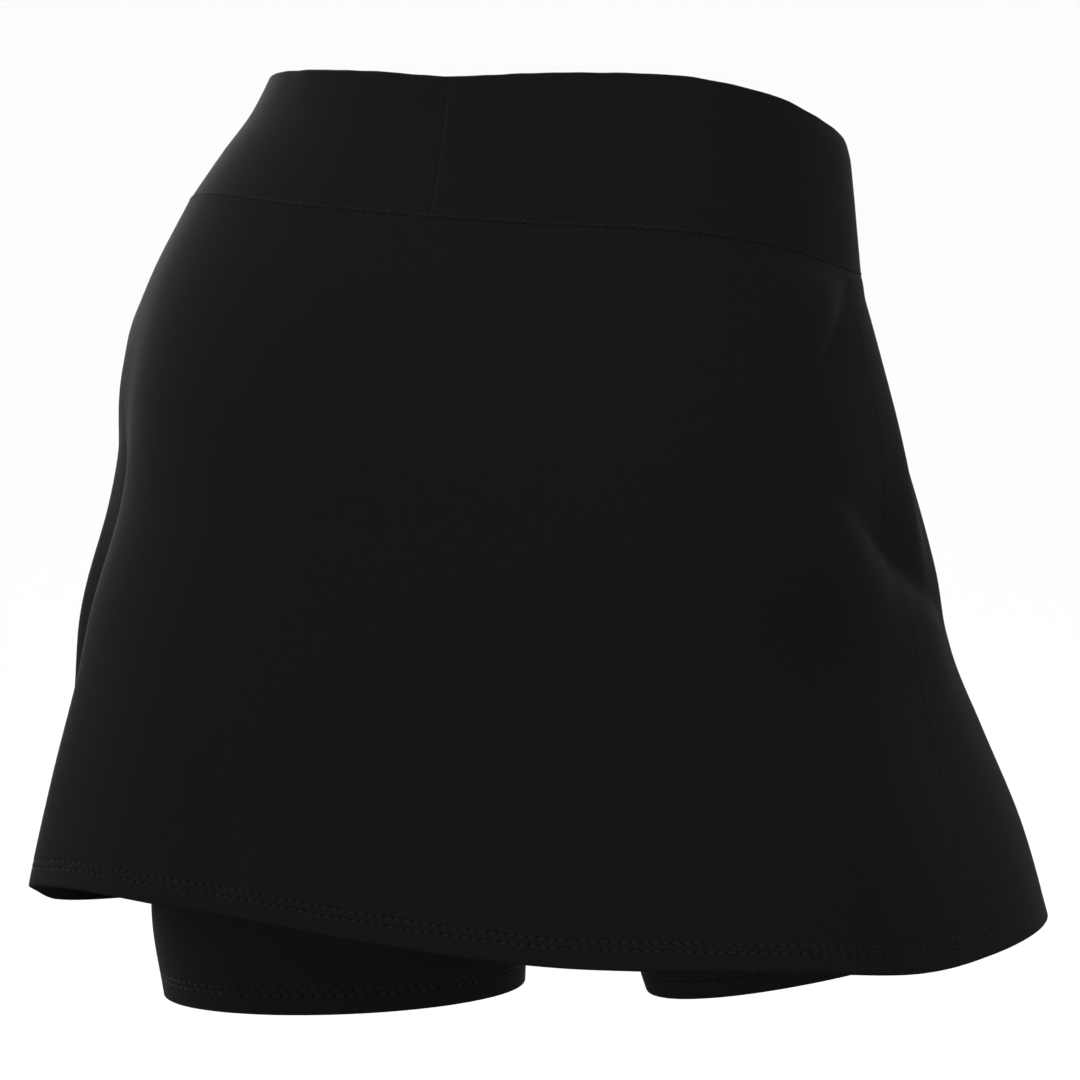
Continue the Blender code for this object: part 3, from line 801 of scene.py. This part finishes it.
def floor_with_painted_shade():
    """A large disc of matt floor, pale far out and darkened under the garment as painted shade:
    a fan of triangles round its middle, whose grey goes smoothly from one distance to the
    other."""
    turn = np.linspace(0, 2 * np.pi, FLOOR_SIDES + 1)[:-1]
    ring = np.stack([np.cos(turn), np.sin(turn), turn * 0], -1) * FLOOR_RADIUS
    points = np.concatenate([ring, [(0, 0, 0)]]) + (0, 0, FLOOR_HEIGHT)
    near = np.arange(FLOOR_SIDES)
    faces = np.stack([np.full(FLOOR_SIDES, FLOOR_SIDES), near, np.roll(near, -1)], -1)
    material = bpy.data.materials.new("floor_with_painted_shade")
    material.use_nodes = True
    tree = material.node_tree
    shader = tree.nodes["Principled BSDF"]
    shader.inputs["Roughness"].default_value = 0.9
    shader.inputs["Specular IOR Level"].default_value = 0.0
    place = tree.nodes.new("ShaderNodeTexCoord")
    flat = tree.nodes.new("ShaderNodeVectorMath")
    flat.operation = "MULTIPLY"
    flat.inputs[1].default_value = (1, 1, 0)
    far = tree.nodes.new("ShaderNodeVectorMath")
    far.operation = "LENGTH"
    # painted shade: the floor is dark grey near the middle, under the garment, and pale further
    # out
    paler = tree.nodes.new("ShaderNodeMapRange")
    paler.interpolation_type = "SMOOTHSTEP"
    for label, value in zip(("From Min", "From Max", "To Min", "To Max"), FLOOR_GREYS):
        paler.inputs[label].default_value = value
    tree.links.new(place.outputs["Object"], flat.inputs[0])
    tree.links.new(flat.outputs["Vector"], far.inputs[0])
    tree.links.new(far.outputs["Value"], paler.inputs["Value"])
    tree.links.new(paler.outputs["Result"], shader.inputs["Base Color"])
    mesh = bpy.data.meshes.new("floor")
    mesh.from_pydata(points, [], faces)
    mesh.materials.append(material)
    floor = bpy.data.objects.new("floor", mesh)
    bpy.context.scene.collection.objects.link(floor)


def studio_light():
    """White light from each way d: all round + window light * max(0, d . window)^focus."""
    world = bpy.data.worlds.new("studio")
    world.use_nodes = True
    tree = world.node_tree
    way = tree.nodes.new("ShaderNodeTexCoord")
    dot = tree.nodes.new("ShaderNodeVectorMath")
    dot.operation = "DOT_PRODUCT"
    dot.inputs[1].default_value = WINDOW_DIRECTION
    tree.links.new(way.outputs["Generated"], dot.inputs[0])
    towards = calculate(tree, "MAXIMUM", dot.outputs["Value"], 0.0)
    lobe = calculate(tree, "POWER", towards, WINDOW_FOCUS)
    strength = calculate(tree, "MULTIPLY_ADD", lobe, WINDOW_LIGHT, LIGHT_ALL_ROUND)
    background = tree.nodes["Background"]
    background.inputs["Color"].default_value = (1, 1, 1, 1)
    tree.links.new(strength, background.inputs["Strength"])
    return world


floor_with_painted_shade()
bpy.context.scene.world = studio_light()
lamp = bpy.data.lights.new("lamp_above", "AREA")
lamp.shape, lamp.size, lamp.energy = "DISK", LAMP_SIZE, LAMP_WATTS
look_at(bpy.data.objects.new("lamp_above", lamp), LAMP_PLACE, LAMP_TARGET)
camera = bpy.data.cameras.new("camera")
camera.sensor_width, camera.lens = CAMERA_SENSOR, CAMERA_LENS
view = bpy.data.objects.new("camera", camera)
look_at(view, CAMERA_PLACE, CAMERA_TARGET)
bpy.context.scene.camera = view
bpy.context.scene.view_settings.view_transform = "Standard"
